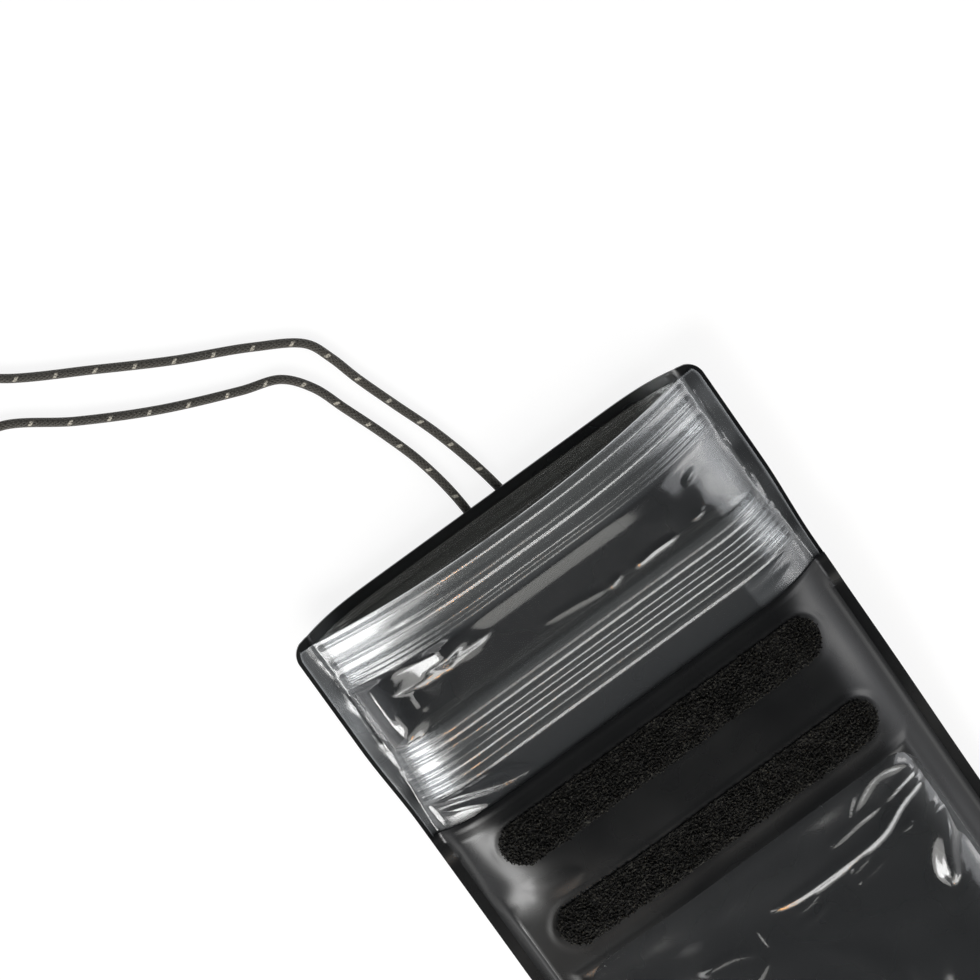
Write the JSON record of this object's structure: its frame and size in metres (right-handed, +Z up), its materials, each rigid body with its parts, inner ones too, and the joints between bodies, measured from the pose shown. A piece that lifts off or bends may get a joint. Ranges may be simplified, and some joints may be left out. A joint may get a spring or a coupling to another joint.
{
  "type": "waterproof phone pouch",
  "caption": "Roll-top waterproof pouch for a phone: black film body with a clear window, clear top with press-to-close zips, hook and loop strips and a neck lanyard.",
  "frame": {"origin": "on the surface, under the middle of the pouch without its lanyard", "axes": "+Y along the pouch towards its mouth, +Z up through the front wall, +X to the right seen from the front"},
  "size_m": [0.1621, 0.3282, 0.02],
  "materials": {
    "black_film": "satin calendered film",
    "clear_film": "glossy clear film",
    "clear_profile": "glossy extruded profile",
    "loop_pile": "fuzzy loop pile",
    "hook_tape": "stiff hook tape",
    "webbing": "woven webbing",
    "braided_cord": "braided cord with reflective flecks"
  },
  "bodies": {
    "root": {"back_wall": "black_film", "clear_top_panel": "clear_film", "black_front_panel": "black_film", "window_pane": "clear_film", "upper_zip_front": "clear_profile", "upper_zip_back": "clear_profile", "lower_zip_front": "clear_profile", "lower_zip_back": "clear_profile", "upper_loop_strip": "loop_pile", "lower_loop_strip": "loop_pile", "hook_strip": "hook_tape", "lanyard_band": "webbing", "lanyard_right_run": "braided_cord", "lanyard_left_run": "braided_cord", "lanyard_coil": "braided_cord"}
  },
  "joints": []
}
